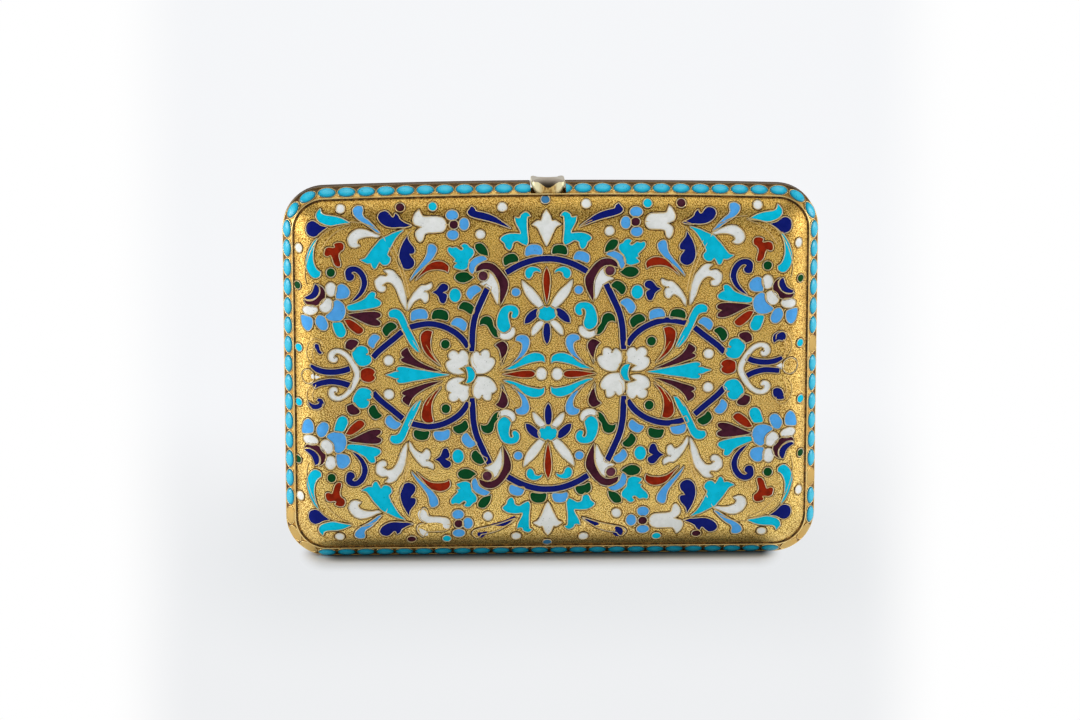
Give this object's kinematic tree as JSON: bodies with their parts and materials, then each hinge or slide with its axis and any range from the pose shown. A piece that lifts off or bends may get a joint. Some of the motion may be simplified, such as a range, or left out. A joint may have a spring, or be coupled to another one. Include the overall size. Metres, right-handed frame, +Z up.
{
  "type": "cigarette case",
  "caption": "Hinged flat metal cigarette case with bead-bordered enamelled panels, a push thumb piece with hook catch, inner flange and elastic straps.",
  "frame": {"origin": "centre of the bounding box, on the surface that the case stands on", "axes": "+X along the width and the hinge, +Y from the lid towards the base, +Z up from the hinge edge to the thumb piece"},
  "size_m": [0.108, 0.016, 0.0776],
  "materials": {
    "gilt_panel": "matted gilt ground with raised wire and enamel cells",
    "gilt_plain": "polished gilt",
    "bead_enamel": "glossy opaque turquoise enamel beads in gilt wire",
    "gilt_wire": "drawn gilt wire",
    "thumb_metal": "worn polished gilt silver",
    "steel_spring": "spring temper, satin",
    "elastic": "ribbed woven elastic"
  },
  "bodies": {
    "base": {"base_shell": "gilt_panel", "base_bead_band": "bead_enamel", "base_panel_wire": "gilt_wire", "base_strap": "elastic", "base_staple_left": "gilt_plain", "base_staple_right": "gilt_plain", "base_knuckle_1": "gilt_plain", "base_knuckle_3": "gilt_plain", "base_knuckle_5": "gilt_plain", "hinge_pin": "thumb_metal", "base_flange_left": "gilt_plain", "base_flange_right": "gilt_plain", "catch_bracket": "gilt_plain", "catch_spring": "steel_spring", "catch_rivet_left": "thumb_metal", "catch_rivet_right": "thumb_metal"},
    "lid": {"lid_shell": "gilt_panel", "lid_bead_band": "bead_enamel", "lid_panel_wire": "gilt_wire", "lid_strap": "elastic", "lid_staple_left": "gilt_plain", "lid_staple_right": "gilt_plain", "lid_knuckle_2": "gilt_plain", "lid_knuckle_4": "gilt_plain", "lid_strike": "gilt_plain"},
    "thumb": {"thumb_piece": "thumb_metal", "thumb_stem": "thumb_metal", "catch_hook": "gilt_plain"}
  },
  "joints": [
    {"name": "lid_hinge", "type": "hinge", "parent": "base", "child": "lid", "pos_m": [0, 0, 0.0012], "axis": [1, 0, 0], "range_deg": [0, 100]},
    {"name": "thumb_press", "type": "slide", "parent": "base", "child": "thumb", "axis": [0, 0, -1], "range_m": [0, 0.0011], "stiffness_N_per_m": 800, "springref_m": -0.001, "deforming": ["catch_spring"]}
  ]
}
